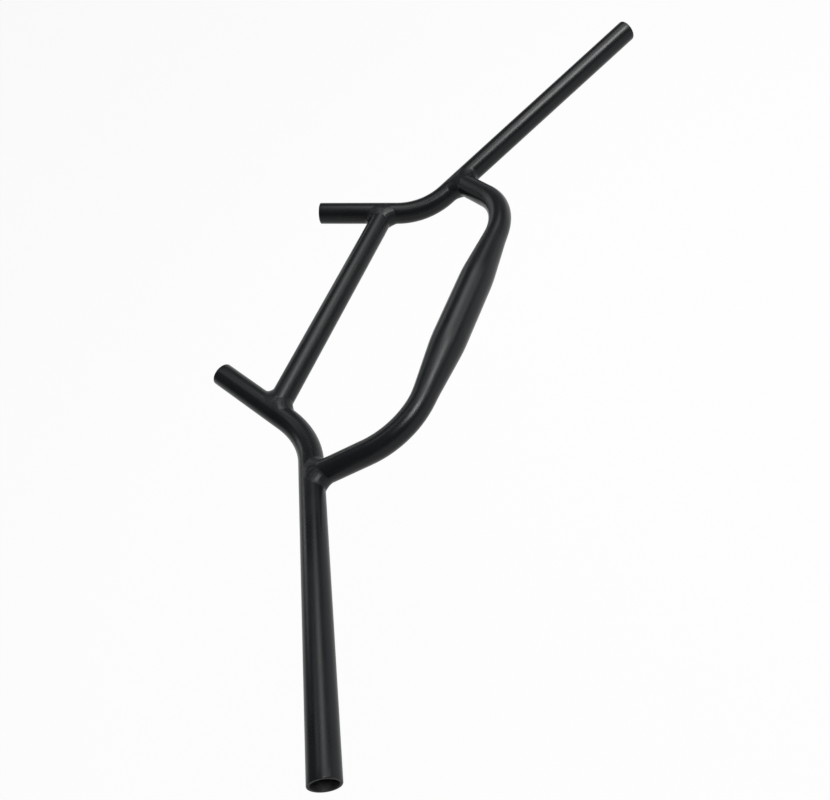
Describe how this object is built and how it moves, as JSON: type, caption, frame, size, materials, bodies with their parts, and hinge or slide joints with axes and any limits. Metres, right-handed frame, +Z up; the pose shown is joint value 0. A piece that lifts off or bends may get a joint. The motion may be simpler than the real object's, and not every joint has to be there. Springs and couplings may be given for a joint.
{
  "type": "bicycle handlebar",
  "caption": "Swept bicycle handlebar: a drawn-down centre tube welded between bent grip tubes whose raised horns are joined by a cross tube.",
  "frame": {"origin": "middle of the stem clamp seat, on the axis of the bar", "axes": "+X along the bar to the rider's right, +Y forward to the horns, +Z up, square to the plane of the centre tube's bends"},
  "size_m": [0.783, 0.2805, 0.0679],
  "materials": {
    "tube_paint": "black paint, satin gloss",
    "weld_paint": "black paint over a smooth weld bead, satin gloss"
  },
  "bodies": {
    "root": {"centre_tube": "tube_paint", "left_grip_tube": "tube_paint", "right_grip_tube": "tube_paint", "cross_tube": "tube_paint", "left_centre_weld": "weld_paint", "right_centre_weld": "weld_paint", "left_cross_weld": "weld_paint", "right_cross_weld": "weld_paint"}
  },
  "joints": []
}
